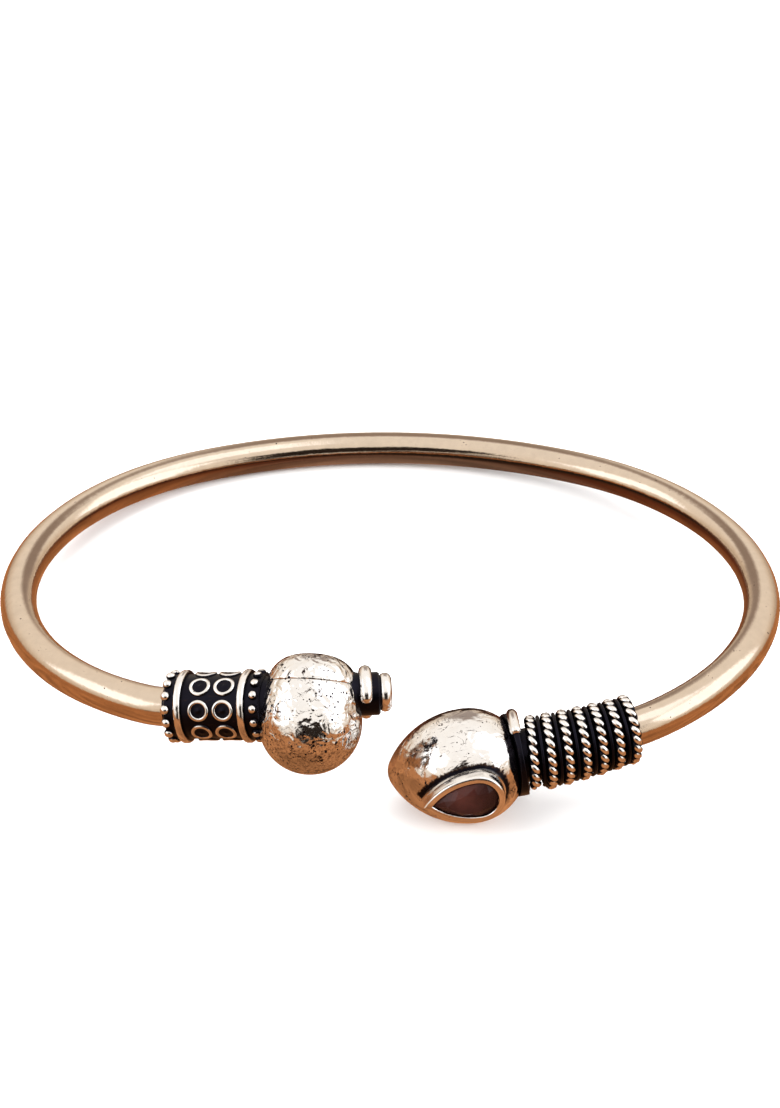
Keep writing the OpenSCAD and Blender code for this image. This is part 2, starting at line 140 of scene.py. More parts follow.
class StageSettings(bpy.types.PropertyGroup):
    floor: colour("Floor", "Pale table", "#f7f6f4")
    table_glow: colour("Warm table", "Wooden table that the metal mirrors, where it is lit", "#c48354")
    # Painted shade on the mirrored table close to the wire
    table_near_shade: colour("Near table", "The same table close to the wire", "#6a3823")
    table_shade: colour("Shaded table", "The same table in the shade inside the cuff", "#2a1f17")
    low_wall: colour("Low wall", "Walls that the metal mirrors, at the height of the table", "#d8c7b4")
    wall: colour("Wall", "The same walls higher up", "#f3ece3")
    ceiling: colour("Ceiling", "Ceiling that the metal mirrors", "#f8f5f1")
    window: colour("Window", "Bright windows that the metal mirrors", "#f6f9ff")
    dim_wall: colour("Dim screen", "Screen in the shade behind the cuff", "#a8988e")
    shade: colour("Dark side", "Unlit side of the room", "#2c231d")
    dusk: colour("Dark edge", "Far edge of the table", "#57463a")


# Rigid moves

def shift(x=0.0, y=0.0, z=0.0):
    return Matrix.Translation((x, y, z))


def turn(axis, value):
    return Matrix.Rotation(value, 4, axis)


def turned_from(direction, value):
    """A turn about a direction square to the x axis: 0 is up and 90 degrees outwards."""
    return turn("X", pi - direction) @ turn("Z", value) @ turn("X", direction - pi)


def along(radius, value):
    """A step along a bend of that radius and angle, or along a straight of that length where radius is 0."""
    if radius == 0:
        return shift(value)
    return shift(radius*sin(value), radius*(1 - cos(value))) @ turn("Z", value)


def after(bends, count):
    """The wire's frame after that many bends: x runs along it, y to the inside and z down."""
    place = turn("X", pi)
    for lift, radius, value in bends[:count]:
        place = place @ turn("X", -lift) @ along(radius, value)
    return place


# Gap kept between two soldered pieces
GAP = 0.05*MM
# Bends past the cuff's sides, each as two angles: its lift out of the cuff's plane, and how far it turns
LEFT_ARM, LEFT_ELBOW, BALL_BEND, RIGHT_ARM, RIGHT_ELBOW, ROPE_BEND = (
    (radians(lift), radians(value)) for lift, value in (
        (3.5, 61.5), (17, 15.5), (-15, 18), (-6, 56.2), (-18, 14.2), (18.5, 12.4)))
# Straight run of the pin through the sleeve, and the bend radii of the pins in the ball and in the rope
SLEEVE_RUN, BALL_RADIUS, ROPE_RADIUS = 10.25*MM, 6*MM, 40*MM
# Number of bends before each ornament's own axis
TO_ORNAMENT, TO_CAP, TO_KNOB = 4, 5, 6
# Angle of the ball's lid along the wire, and distance from the wire's axis down to the ball's widest circle
LID_SIDE, BALL_DROP = radians(2), 1.3*MM
# Distance along its pin of the point about which the knob leans
KNOB_LEAN_AT = 3.9*MM
# Height of the cap's middle above its pin
CAP_LIFT = 0.2*MM
# Side from which the lean of the knob and of the cap is seen, from straight up outwards
SEEN_FROM = radians(60)
# Angles of the stone's face below straight outwards and towards the tip, and its distance past the widest
# circle
STONE_DROP, STONE_LEAN, STONE_SHIFT = radians(-3.5), radians(-6), 0.5*MM
# Angle of the place on the back where the wire touches the table, and the middle of the cuff seen from above
TOUCH = radians(-14.5)
PLAN_MIDDLE = Vector((-0.05*MM, -25.94*MM, 0))


def bend_tables():
    """The wire's left and right half from the middle of its back: lift, bend radius and angle of each bend.
    A straight run has the radius 0 and its length for an angle."""
    wire = bpy.context.scene.cuff_wire
    half = [(0, wire.back_radius, wire.back_angle), (0, wire.side_radius, wire.side_angle)]

    def bends(*rows):
        return [(lift, radius, value) for (lift, value), radius in rows]

    left = half + bends((LEFT_ARM, wire.front_radius), (LEFT_ELBOW, wire.elbow_radius))
    left += [(0, 0, SLEEVE_RUN)] + bends((BALL_BEND, BALL_RADIUS))
    right = half + bends((RIGHT_ARM, wire.front_radius), (RIGHT_ELBOW, wire.elbow_radius))
    right += bends((ROPE_BEND, ROPE_RADIUS))
    return left, right


def places():
    """Where each ornament stands, as the cuff lies on its back and its teardrop."""
    wire, ring, rope = (getattr(bpy.context.scene, n) for n in ("cuff_wire", "ring_end", "rope_end"))
    left, right = bend_tables()
    cap = after(right, TO_CAP)
    drop = cap @ shift(rope.cap_len + rope.drop_from_cap) @ turn("Z", rope.drop_turn)
    touch = Vector((wire.back_radius*sin(TOUCH), -wire.back_radius*(1 - cos(TOUCH)), 0))
    reach = drop.translation - touch
    out = -(reach.x*sin(TOUCH) + reach.y*cos(TOUCH))
    drop_r, wire_r = rope.drop_d/2, wire.wire_d/2
    low = rope.flank_radius - (rope.flank_radius - drop_r)*sqrt(1 - drop.col[0].z**2)
    tilt = atan2(-reach.z, out) + asin((low - wire_r)/hypot(out, reach.z))
    lean = turn("Z", -TOUCH) @ turn("X", -tilt) @ turn("Z", TOUCH)
    rest = Matrix.Translation(-PLAN_MIDDLE) @ shift(z=wire_r - (lean @ touch).z) @ lean
    sleeve = rest @ MIRROR @ after(left, TO_ORNAMENT)
    ball_at = SLEEVE_RUN + BALL_RADIUS*tan(BALL_BEND[1]/2)
    ball = sleeve @ shift(ball_at) @ turn("X", pi + ring.lid_back) @ turn("Y", LID_SIDE)
    ball = ball @ shift(z=-BALL_DROP) @ turn("Y", -pi/2)
    knob = rest @ MIRROR @ after(left, TO_KNOB) @ shift(KNOB_LEAN_AT)
    knob = knob @ turned_from(SEEN_FROM, ring.knob_lean) @ shift(-KNOB_LEAN_AT)
    face = rest @ cap @ shift(rope.cap_len) @ turned_from(SEEN_FROM - pi/2, rope.cap_lean)
    stone = rest @ drop @ turn("X", pi/2 - STONE_DROP) @ turn("Y", STONE_LEAN)
    return {"rest": rest, "sleeve": sleeve, "ball": ball, "knob": knob, "cap": rest @ cap,
            "cap_face": face, "drop": rest @ drop,
            "rope": rest @ after(right, TO_ORNAMENT) @ turn("X", -ROPE_BEND[0]),
            "setting": stone @ shift(STONE_SHIFT, 0, rope.bezel_rim)}


# Shaping

def draw_line(name, points):
    """Draws a line of edges from point to point by extruding one corner, and stays in edit mode."""
    bpy.ops.object.select_all(action="DESELECT")
    bpy.ops.mesh.primitive_plane_add(size=MM, location=points[0])
    piece = bpy.context.object
    piece.name = name
    bpy.ops.object.mode_set(mode="EDIT")
    bpy.ops.mesh.merge(type="CENTER")
    for a, b in zip(points, points[1:]):
        bpy.ops.mesh.extrude_region_move(TRANSFORM_OT_translate={"value": b - a})
    return piece


def alone(piece):
    """Makes a piece the only one selected, and the active one."""
    bpy.ops.object.select_all(action="DESELECT")
    piece.select_set(True)
    bpy.context.view_layer.objects.active = piece


def edit(action="SELECT"):
    """Opens the active piece for editing, with all or none of it selected."""
    bpy.ops.object.mode_set(mode="EDIT")
    bpy.ops.mesh.select_all(action=action)


def settle(piece):
    """Puts a finished piece's place into its mesh."""
    bpy.ops.object.mode_set(mode="OBJECT")
    alone(piece)
    bpy.ops.object.transform_apply(location=True, rotation=True, scale=True)


def close_up(piece, smooth=40):
    """Merges doubles, turns the faces outwards and smooths all but sharp edges."""
    weld = 0.002*MM
    settle(piece)
    edit()
    bpy.ops.mesh.remove_doubles(threshold=weld)
    bpy.ops.mesh.normals_make_consistent(inside=False)
    bpy.ops.object.mode_set(mode="OBJECT")
    bpy.ops.object.shade_smooth_by_angle(angle=radians(smooth))
    return piece


def turned(name, place, profile, steps=96, smooth=40):
    """Spins a profile of (distance along, radius) round the x axis of a place."""
    points = [place @ Vector((x, r, 0)) for x, r in profile]
    piece = draw_line(name, points)
    bpy.ops.mesh.select_all(action="SELECT")
    bpy.ops.mesh.spin(steps=steps, angle=2*pi, center=place.translation, axis=place.col[0].to_3d())
    return close_up(piece, smooth=smooth)


def wound(name, points, thick, sides=12, ends=None, smooth=60, pit=0.0):
    """Bends round wire through points: a line becomes a curve, and the curve gets its thickness and becomes a
    mesh. A pit is the depth of the hollow that sawing and melting leave in each cut end."""
    piece = draw_line(name, points)
    settle(piece)
    bpy.ops.object.convert(target="CURVE")
    line = piece.data
    for knot, share in zip(line.splines[0].points, ends or []):
        knot.radius = share
    line.bevel_depth = thick/2
    line.bevel_resolution = max(sides//4 - 1, 0)
    line.use_fill_caps = True
    bpy.ops.object.convert(target="MESH")
    if pit:
        rim, slope = 0.09*thick, 0.05*thick
        edit("DESELECT")
        bpy.ops.mesh.select_face_by_sides(number=4, type="GREATER")
        bpy.ops.mesh.inset(thickness=rim, use_individual=True)
        bpy.ops.mesh.inset(thickness=slope, depth=-pit, use_individual=True)
        bpy.ops.object.mode_set(mode="OBJECT")
    return close_up(piece, smooth=smooth)


def skinned(name, rings, smooth):
    """Raises a wall through a stack of outlines, extruding from each to the next, corner for corner."""
    piece = draw_line(name, rings[0])
    settle(piece)
    edit()
    bpy.ops.mesh.edge_face_add()
    for ring, following in zip(rings, rings[1:]):
        bpy.ops.mesh.extrude_region_move(TRANSFORM_OT_translate={"value": (0, 0, 0)})
        bpy.ops.object.mode_set(mode="OBJECT")
        for corner in piece.data.vertices:
            if corner.select:
                at = corner.co.copy()
                corner.co = following[min(range(len(ring)), key=lambda k: (ring[k] - at).length)]
        bpy.ops.object.mode_set(mode="EDIT")
    return close_up(piece, smooth=smooth)


def round_ends(points, thick, steps=5, flat=0.12):
    """Adds points and shares of thickness that round off both ends of a wire, to a flat of that share."""
    r, last = thick/2, acos(flat)
    head, tail = (points[0] - points[1]).normalized(), (points[-1] - points[-2]).normalized()
    out = [sin(last*i/steps) for i in range(1, steps + 1)]
    slim = [cos(last*i/steps) for i in range(1, steps + 1)]
    line = [points[0] + head*r*a for a in reversed(out)] + points + [points[-1] + tail*r*a for a in out]
    return line, slim[::-1] + [1.0]*len(points) + slim


def arc(centre, radius, start, end, steps):
    """Part of a profile: points of (distance along, radius), round a centre of (radius, distance along)."""
    angles = [start + (end - start)*i/steps for i in range(steps + 1)]
    return [(centre[1] + radius*sin(a), centre[0] + radius*cos(a)) for a in angles]


def round_axis(place, x, radius, value):
    """A point round the x axis of a place: angle 0 is up and 90 degrees outwards."""
    return place @ Vector((x, -radius*sin(value), -radius*cos(value)))


def open_turn(name, place, x, radius, thick, start, sweep, rule):
    """Solders an open turn of wire on: it starts at one angle and runs back over the top to its other cut
    end. The rule marks how proud it stands, and its cut ends have dark pits."""
    steps, stub, pit = 60, 0.22*thick, 0.16*thick
    dark_r, dark_edge = 0.17*thick, 0.08*thick
    back = stub/radius
    points = [round_axis(place, x, radius, start - back - (sweep - 2*back)*i/steps) for i in range(steps + 1)]
    line, share = round_ends(points, thick, flat=0.6)
    piece = wound(name, line, thick, sides=20, ends=share, pit=pit)
    pits = [line[0].lerp(line[6], 0.25), line[-1].lerp(line[-7], 0.25)]
    mark(piece, lambda p: min(rule(p), (min((p - middle).length for middle in pits) - dark_r)/dark_edge))
    return piece


def saw_off(piece, at, towards, smooth):
    """Saws off what lies beyond a plane, on the side that it faces, and closes the cut."""
    edit()
    bpy.ops.mesh.bisect(plane_co=at, plane_no=towards, clear_outer=True, use_fill=True)
    return close_up(piece, smooth=smooth)


def rub_edges(piece, width):
    """Rounds a piece's sharp edges."""
    soften = piece.modifiers.new("rubbed edge", "BEVEL")
    soften.width, soften.segments = width, 3
    soften.limit_method, soften.angle_limit = "ANGLE", radians(60)
    bpy.ops.object.modifier_apply(modifier=soften.name)
    bpy.ops.object.shade_smooth_by_angle(angle=radians(50))


def stand(place, x, radius, value):
    """A place on the surface round an axis, with z pointing away from the axis and x along it."""
    return place @ shift(x) @ turn("X", pi - value) @ shift(z=radius)


def copies(first, spots, name):
    """Copies a piece, modelled at the origin, to each spot, joins the copies and removes the piece."""
    made = []
    for spot in spots:
        alone(first)
        bpy.ops.object.duplicate(linked=False)
        copy = bpy.context.object
        copy.matrix_world = spot
        bpy.ops.object.transform_apply(location=True, rotation=True, scale=True)
        if spot.determinant() < 0:
            edit()
            bpy.ops.mesh.normals_make_consistent(inside=False)
            bpy.ops.object.mode_set(mode="OBJECT")
        made.append(copy)
    bpy.data.objects.remove(first)
    alone(made[0])
    for copy in made:
        copy.select_set(True)
    bpy.ops.object.join()
    piece = bpy.context.object
    piece.name = name
    return piece


def mark(piece, rule):
    """Writes how proud of its hollows each point of a piece stands, from 0, black, to 1, rubbed bright."""
    layer = piece.data.attributes.new("proud", "FLOAT", "POINT")
    for vertex, value in zip(piece.data.vertices, layer.data):
        value.value = max(0.0, min(1.0, rule(vertex.co)))


def axis_distance(place, point):
    """Distance of a point from the x axis of a place."""
    local = place.inverted() @ point
    return hypot(local.y, local.z)


# Materials

# Cells of each pattern in a millimetre of silver: tarnish, grain, scratches, pits and hair lines
TARNISH, GRAIN, SCRATCHES, PITS, HAIRS = 0.9, 5.0, 1.6, 2.6, 0.8
# Each silver: amount of pits and of scratches, strength of its waves and roughness where it is bright
SILVERS = {
    # Drawn sterling wire, burnished: smooth and bright, warmer than the beads
    "silver_wire": dict(pits=0.06, scratch=0.2, wave=0.05, gloss=0.1, colour_name="wire_silver"),
    # Silver blackened in a bath and left so: brown-black and half dull
    "oxidised_silver": dict(pits=0.1, scratch=0.2, wave=0.05, gloss=0.3),
    # The same after the mop: bright on its high places and black in its hollows
    "rubbed_silver": dict(pits=0.08, scratch=0.2, wave=0.04, gloss=0.12),
    # Hollow ball, hammered and polished: it mirrors the room in waves, between black pits and hair lines
    "pitted_silver": dict(pits=0.24, scratch=0.28, wave=0.6, gloss=0.05, wave_mm=0.8, hair=1.0),
    # Hollow teardrop, brushed and polished: smoother, with more scratches
    "brushed_silver": dict(pits=0.16, scratch=0.32, wave=0.4, gloss=0.07, hair=1.0)}


def add_node(tree, kind, inputs=None, stops=(), **settings):
    """Adds a node. Its inputs go by socket name or number, and one that is given a node reads its first
    output. Stops are the places and tones of a colour ramp: a tone is a colour, or a number from 0 to 1."""
    node = tree.nodes.new("ShaderNode" + kind)
    for key, value in settings.items():
        setattr(node, key, value)
    for socket, content in (inputs or {}).items():
        source = content.outputs[0] if hasattr(content, "outputs") else content
        if hasattr(source, "links"):
            tree.links.new(source, node.inputs[socket])
        else:
            node.inputs[socket].default_value = source
    while stops and len(node.color_ramp.elements) < len(stops):
        node.color_ramp.elements.new(0.5)
    for k, (place, tone) in enumerate(stops):
        node.color_ramp.elements[k].position = place
        node.color_ramp.elements[k].color = tone if hasattr(tone, "__len__") else (tone, tone, tone, 1)
    return node


def dimmed(tone, share):
    return [part*share for part in tone[:3]] + [1]


def new_material(name):
    """An empty material, and the function that adds a node to it."""
    material = bpy.data.materials.get(name) or bpy.data.materials.new(name)
    material.use_nodes = True
    material.node_tree.nodes.clear()
    return material, partial(add_node, material.node_tree)


def in_mm(add, stretch=(1, 1, 1), rotation=(0, 0, 0)):
    """Object coordinates in millimetres, stretched for scratches."""
    coordinates = add("TexCoord").outputs["Object"]
    return add("Mapping", {"Vector": coordinates, "Scale": [s/MM for s in stretch], "Rotation": rotation})


def silver_material(name, pits, scratch, wave, gloss, wave_mm=1.1, hair=0.0, colour_name="silver"):
    """Warm silver, polished by hand on a mop after blackening: bright where it stands proud, black oxide in
    its hollows and in its pits, with fine scratches and a slightly uneven surface."""
    material, add = new_material(name)
    tone = bpy.context.scene.finish
    metal = getattr(tone, colour_name)
    mm = in_mm(add)
    cloud = add("TexNoise", {"Vector": mm, "Scale": TARNISH, "Detail": 4.0, "Roughness": 0.6})
    hammer = add("TexNoise", {"Vector": mm, "Scale": 1.0/wave_mm, "Detail": 1.5, "Roughness": 0.45,
                              "Distortion": 0.6})
    grain = add("TexNoise", {"Vector": mm, "Scale": GRAIN, "Detail": 5.0, "Roughness": 0.65})
    long_way = in_mm(add, (0.35, 4.0, 1.6), (0.3, 0.2, 0.5))
    lines = add("TexNoise", {"Vector": long_way, "Scale": SCRATCHES, "Detail": 5.0, "Roughness": 0.7})

    # Pits, scratches and hair lines: 1 is a flaw, 0 is clean metal
    cells = add("TexVoronoi", {"Vector": mm, "Scale": PITS, "Smoothness": 0.25, "Randomness": 1.0},
                feature="SMOOTH_F1")
    middle_tarnish = 0.62
    field = add("Math", {0: cells, 1: cloud}, operation="SUBTRACT")
    level = add("Math", {0: field, 1: middle_tarnish}, operation="ADD")
    pit = add("ValToRGB", {0: level}, [(0.0, 1.0), (pits, 1.0), (pits + 0.07, 0.0)])
    scratches = add("ValToRGB", {0: lines}, [(0.0, 1.0), (scratch, 1.0), (scratch + 0.06, 0.0)])
    curl = add("TexNoise", {"Vector": mm, "Scale": HAIRS, "Detail": 2.5, "Roughness": 0.55,
                            "Distortion": 1.6})
    middle = add("Math", {0: curl, 1: 0.5}, operation="SUBTRACT")
    strand = add("Math", {0: middle}, operation="ABSOLUTE")
    thin = add("ValToRGB", {0: strand}, [(0.0, 1.0), (0.007, 0.9), (0.018, 0.0)])
    patch = add("ValToRGB", {0: cloud}, [(0.5, 0.0), (0.6, hair)])
    hairs = add("Math", {0: thin, 1: patch}, operation="MULTIPLY")
    marks = add("Math", {0: scratches, 1: hairs}, operation="MAXIMUM")
    flaw = add("Math", {0: pit, 1: marks}, operation="MAXIMUM")

    # The mop takes the oxide off what stands proud, with an uneven edge, and scuffs the rest
    proud = add("Attribute", attribute_name="proud", attribute_type="GEOMETRY").outputs["Fac"]
    uneven = add("Math", {0: grain, 1: 0.5, 2: proud}, operation="MULTIPLY_ADD")
    rubbed = add("ValToRGB", {0: uneven}, [(0.0, 0.0), (0.58, 0.0), (0.78, 1.0)])
    scuffs = add("ValToRGB", {0: lines}, [(0.0, 0.0), (0.6, 0.0), (0.72, 0.22)])
    bright = add("Math", {0: rubbed, 1: scuffs}, operation="MAXIMUM")
    clean = add("Math", {0: bright, 1: flaw}, operation="SUBTRACT", use_clamp=True)

    tint = add("ValToRGB", {0: cloud}, [(0.25, dimmed(metal, 0.9)), (0.7, metal)])
    edge = add("ValToRGB", {0: clean}, [(0.0, tone.patina), (0.45, tone.brown), (1.0, 1.0)])
    base = add("Mix", {0: 1.0, 6: tint, 7: edge}, data_type="RGBA", blend_type="MULTIPLY")
    rough = add("ValToRGB", {0: clean}, [(0.0, 0.38), (0.5, 0.3), (1.0, gloss)])
    relief = add("Math", {0: flaw, 1: -0.35, 2: grain}, operation="MULTIPLY_ADD")
    fine = add("Bump", {"Height": relief, "Strength": 0.35, "Distance": 0.02*MM})
    broad = add("Bump", {"Height": hammer, "Strength": wave, "Distance": 0.3*MM, "Normal": fine})
    shader = add("BsdfPrincipled", {"Base Color": base.outputs[2], "Metallic": 1.0, "Roughness": rough,
                                    "Normal": broad})
    add("OutputMaterial", {"Surface": shader})
    return material


def garnet_material():
    """Natural brownish-red garnet with polished facets over a closed dark setting: its colour has a painted
    glow in its middle and painted shade, nearly black, towards its edges, and it mirrors little."""
    material, add = new_material("garnet")
    body = bpy.context.scene.finish.garnet
    mm = in_mm(add)
    veil = add("TexNoise", {"Vector": mm, "Scale": 0.8, "Detail": 3.0, "Roughness": 0.5})
    # Painted glow and shade: the body colour is lightest round this point and painted darker away from it
    painted_glow_middle = places()["setting"] @ Vector((0.1*MM, -0.6*MM, -0.4*MM))
    away = add("VectorMath", {0: mm, 1: painted_glow_middle/MM}, operation="DISTANCE").outputs["Value"]
    depth = add("Math", {0: veil, 1: 1.2, 2: away}, operation="MULTIPLY_ADD")
    share = add("Math", {0: depth, 1: 0.25}, operation="MULTIPLY")
    glow_and_shade_colours = add("ValToRGB", {0: share}, [(0.22, body), (0.5, dimmed(body, 0.45)),
                                           (0.8, dimmed(body, 0.16))])
    speck = add("TexNoise", {"Vector": mm, "Scale": 14.0, "Detail": 2.0})
    rough = add("ValToRGB", {0: speck}, [(0.3, 0.12), (0.8, 0.26)])
    shader = add("BsdfPrincipled", {"Base Color": glow_and_shade_colours, "Roughness": rough, "IOR": 1.76,
                                    "Specular IOR Level": 0.1})
    add("OutputMaterial", {"Surface": shader})
    return material


def finish_piece(piece, finish, node):
    """Gives a piece its silver and its body, and hides the solid that it stands for."""
    piece.data.materials.clear()
    made = bpy.data.materials.get(finish)
    piece.data.materials.append(made or silver_material(finish, **SILVERS[finish]))
    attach(piece, "root")
    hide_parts(node)


class BuildCuffWire(bpy.types.Operator):
    """Bends the round wire of the cuff"""
    bl_idname = "cuff.wire"
    bl_label = "Cuff wire"

    def execute(self, context):
        wire = context.scene.cuff_wire
        rest = places()["rest"]
        step = 0.9*MM

        def run(bends, side):
            points = []
            for k, (lift, radius, value) in enumerate(bends[:TO_ORNAMENT]):
                start = after(bends, k) @ turn("X", -lift)
                last = ceil(radius*value/step)
                points += [rest @ side @ (start @ along(radius, value*i/last)).translation
                           for i in range(1 if points else 0, last + 1)]
            return points

        left, right = bend_tables()
        points = list(reversed(run(left, MIRROR)))[:-1] + run(right, Matrix.Identity(4))
        piece = wound("bent_wire", points, wire.wire_d, sides=wire.sides)
        mark(piece, lambda p: 1.0)
        finish_piece(piece, "silver_wire", "cuff_wire")
        return {"FINISHED"}


# Places along the sleeve of its rows of granules, its bands and its rows of little rings
GRANULES_AT, BANDS_AT, RINGLETS_AT = (0.5*MM, 7.35*MM), (1.45*MM, 6.4*MM), (3.1*MM, 5.0*MM)
# Where the first granule and the first little ring stand round it
GRANULE_TURN, RINGLET_TURN = radians(46.6), radians(49)


def round_row(place, rows, radius, first, number):
    """Places on the surface of the sleeve, evenly round it in each row."""
    return [stand(place, x, radius, first + 2*pi*k/number) for x in rows for k in range(number)]


class BuildRingSleeve(bpy.types.Operator):
    """Turns the sleeve and sets its bands, granules and little rings"""
    bl_idname = "cuff.ring_sleeve"
    bl_label = "Ring sleeve"

    def execute(self, context):
        ring = context.scene.ring_end
        place = places()["sleeve"]
        r, length = ring.sleeve_d/2, ring.sleeve_len
        lip, fillet, collar_r, neck_r, neck_len = 0.1*MM, 0.05*MM, 1.95*MM, 2.2*MM, 1.0*MM
        profile = [(GAP, 1.6*MM), (GAP, collar_r - fillet), (0.1*MM, collar_r), (0.27*MM, collar_r)]
        profile += [(0.3*MM, 2.1*MM), (0.32*MM, r - lip), (0.4*MM, r), (length - lip, r), (length, r - lip)]
        profile += [(length + 0.02*MM, neck_r + fillet), (length + neck_len, neck_r),
                    (length + neck_len, 1.2*MM)]
        barrel = turned("sleeve_barrel", place, profile, smooth=35)
        mark(barrel, lambda p: 0.0)

        band_r, half = ring.band_d/2, ring.band_w/2
        side = [(-half, r - lip), (-half, band_r - 0.14*MM), (-0.8*half, band_r - 0.05*MM),
                (-0.45*half, band_r)]
        rim = side + [(-x, y) for x, y in reversed(side)]
        bands = [turned("sleeve_band_" + word, place, [(at + x, y) for x, y in rim], smooth=70)
                 for word, at in zip(("near", "far"), BANDS_AT)]
        for band in bands:
            mark(band, lambda p: (axis_distance(place, p) - band_r + 0.24*MM)/(0.2*MM))

        bpy.ops.object.select_all(action="DESELECT")
        bpy.ops.mesh.primitive_uv_sphere_add(segments=20, ring_count=12, radius=ring.granule_d/2)
        granule = bpy.context.object
        edit()
        bpy.ops.mesh.bisect(plane_co=(0, 0, -0.22*MM), plane_no=(0, 0, 1), clear_inner=True, use_fill=True)
        bpy.ops.mesh.select_all(action="SELECT")
        bpy.ops.transform.resize(value=(1, 1, 0.94), center_override=(0, 0, 0))
        bpy.ops.object.mode_set(mode="OBJECT")
        bpy.ops.object.shade_smooth_by_angle(angle=radians(50))
        grains = copies(granule, round_row(place, GRANULES_AT, r, GRANULE_TURN, ring.granules),
                        "sleeve_granules")
        inverse = place.inverted()

        def grain_proud(p):
            hidden = 0.06*MM if (inverse @ p).x < length/2 else 0.15*MM
            return (axis_distance(place, p) - r - hidden)/(0.18*MM)

        mark(grains, grain_proud)

        # A little ring of round wire, with solder run into a dish inside it
        wire, out = ring.ringlet_wire/2, ring.ringlet_d/2
        loop = arc((out - wire, 0), wire, radians(200), radians(10), 9)
        dish = [(0.09*MM, 0), (0.08*MM, 0.07*MM), (0.03*MM, 0.16*MM), (0.04*MM, 0.7*(out - 2*wire)),
                (0.07*MM, out - 1.9*wire)]
        ringlet = turned("ringlet", turn("Y", -pi/2), dish + loop, steps=40, smooth=50)
        for corner in ringlet.data.vertices:
            corner.co.z -= corner.co.y**2/(2*r)
        loops = copies(ringlet, round_row(place, RINGLETS_AT, r, RINGLET_TURN, ring.ringlets),
                       "sleeve_ringlets")
        mark(loops, lambda p: (axis_distance(place, p) - r - 0.06*MM)/(0.09*MM))

        finish_piece(barrel, "oxidised_silver", "ring_sleeve")
        for piece in bands + [grains, loops]:
            finish_piece(piece, "rubbed_silver", "ring_sleeve")
        return {"FINISHED"}


class BuildRoundBall(bpy.types.Operator):
    """Turns the hollow round ball with its soldered lid"""
    bl_idname = "cuff.round_ball"
    bl_label = "Round ball"

    def execute(self, context):
        ring = context.scene.ring_end
        place = places()["ball"]
        r, seam, lid = ring.ball_d/2, ring.seam_h, ring.lid_h
        # The solder fills the ball's shoulder out at the seam, and the lid's dome starts a little sloped
        lip_r, first, groove = ring.lid_d/2 + 0.1*MM, 0.15, 0.02*MM
        bulge = (seam*seam + (r - lip_r)**2)/(2*(r - lip_r))
        lower = arc((0, 0), r, -pi/2, 0, 40)
        upper = arc((r - bulge, 0), bulge, 0, asin(seam/bulge), 16)[1:]
        lid_at, low, steps = seam + 2*groove, sin(first)**0.9, 36
        slopes = [first + (pi/2 - first)*i/steps for i in range(steps)]
        dome = [(lid_at + (lid - 2*groove)*(sin(a)**0.9 - low)/(1 - low), lip_r*(cos(a)/cos(first))**0.75)
                for a in slopes]
        profile = lower + upper + [(seam + groove, lip_r - 0.03*MM)] + dome + [(seam + lid, 0)]
        piece = turned("ball_shell", place, profile, steps=128, smooth=70)
        inverse = place.inverted()

        # Dark along the seam, and darker lower down the ball than towards its lid
        def proud(p):
            height = (inverse @ p).x
            seam_line = 0.2 + abs(height - seam - groove)/(0.05*MM)
            return min(seam_line, 0.53 + 0.1*max(height/MM + 0.8, 0))

        mark(piece, proud)
        finish_piece(piece, "pitted_silver", "round_ball")
        return {"FINISHED"}


class BuildEndKnob(bpy.types.Operator):
    """Turns the dark knob past the ball and solders its two wire turns on"""
    bl_idname = "cuff.end_knob"
    bl_label = "End knob"

    def execute(self, context):
        ring = context.scene.ring_end
        place = places()["knob"]
        knob_r, thick = ring.knob_d/2, ring.turn_wire
        knob_end = 4.12*MM
        knob = turned("knob_core", place, [
            (1.0*MM, 0.6*MM), (1.0*MM, 2.32*MM), (1.75*MM, 2.02*MM), (2.5*MM, 1.66*MM), (2.66*MM, knob_r),
            (knob_end, knob_r), (4.25*MM, knob_r - 0.12*MM), (4.3*MM, 0.9*MM), (4.5*MM, 0.75*MM),
            (4.55*MM, 0)], smooth=35)
        mark(knob, lambda p: 0.0)
        inverse = place.inverted()

        def first_proud(p):
            return (axis_distance(place, p) - knob_r - 0.02*MM)/(0.12*MM)

        def last_proud(p):
            return min((axis_distance(place, p) - 0.72*MM)/(0.25*MM),
                       ((inverse @ p).x - knob_end)/(0.15*MM))

        finish_piece(knob, "oxidised_silver", "end_knob")
        for name, at, turn_r, start, sweep, rule in (
                ("knob_open_turn", 3.2*MM, 1.67*MM, 74, 260, first_proud),
                ("knob_last_turn", 4.65*MM, 1.05*MM, 105, 300, last_proud)):
            piece = open_turn(name, place, at, turn_r, thick, radians(start), radians(sweep), rule)
            finish_piece(piece, "rubbed_silver", "end_knob")
        return {"FINISHED"}


def coil_axis(place, s):
    """The frame of the rope's bent axis at a distance along it."""
    return place @ along(ROPE_RADIUS, s/ROPE_RADIUS)


def coil_radius(rope, s):
    """Radius of the rope's middle at a distance along the coil, which grows over its first six turns."""
    share = min(max(s/(6*rope.rope_pitch), 0), 1)
    return (rope.rope_out_first + (rope.rope_out_last - rope.rope_out_first)*share)/2 - rope.rope_d/2


